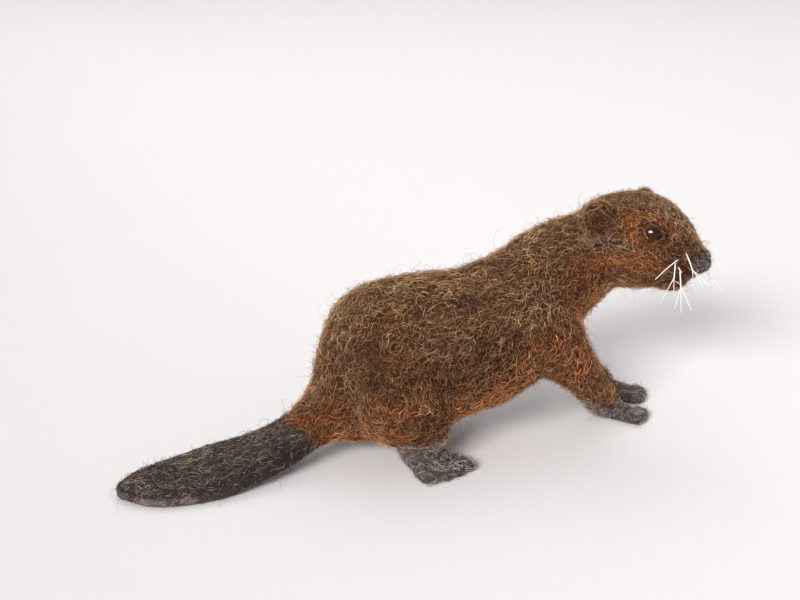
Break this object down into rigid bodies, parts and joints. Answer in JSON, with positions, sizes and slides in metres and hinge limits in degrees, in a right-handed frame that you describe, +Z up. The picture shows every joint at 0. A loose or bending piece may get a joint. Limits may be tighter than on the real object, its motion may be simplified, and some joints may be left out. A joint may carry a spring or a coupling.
{
  "type": "needle-felted beaver figure",
  "caption": "Small needle-felted wool figure of a beaver on all fours, head raised and turned to its right, flat tail on the table; stands freely as a table ornament.",
  "frame": {"origin": "on the table, under the middle of the figure's footprint box", "axes": "+X forward along the trunk from the tail's tip to the front paws, +Y to the figure's left, +Z up"},
  "size_m": [0.135, 0.049, 0.0579],
  "materials": {
    "brown_wool": "needle-felted wool, dark brown with curly tan and rust fibres standing off it",
    "dark_wool": "needle-felted wool, dark reddish brown",
    "grey_wool": "needle-felted wool, charcoal with pale grey curly fibres",
    "eye_bead": "polished black-brown bead",
    "whisker": "stiff white bristle"
  },
  "bodies": {
    "root": {"trunk": "brown_wool", "neck": "brown_wool", "head": "brown_wool", "ear_left": "dark_wool", "ear_right": "dark_wool", "leg_front_left": "brown_wool", "leg_front_right": "brown_wool", "leg_hind_left": "brown_wool", "leg_hind_right": "brown_wool", "foot_front_left": "grey_wool", "foot_front_right": "grey_wool", "foot_hind_left": "grey_wool", "foot_hind_right": "grey_wool", "tail": "grey_wool", "nose": "grey_wool", "eye_left": "eye_bead", "eye_right": "eye_bead"}
  },
  "joints": []
}
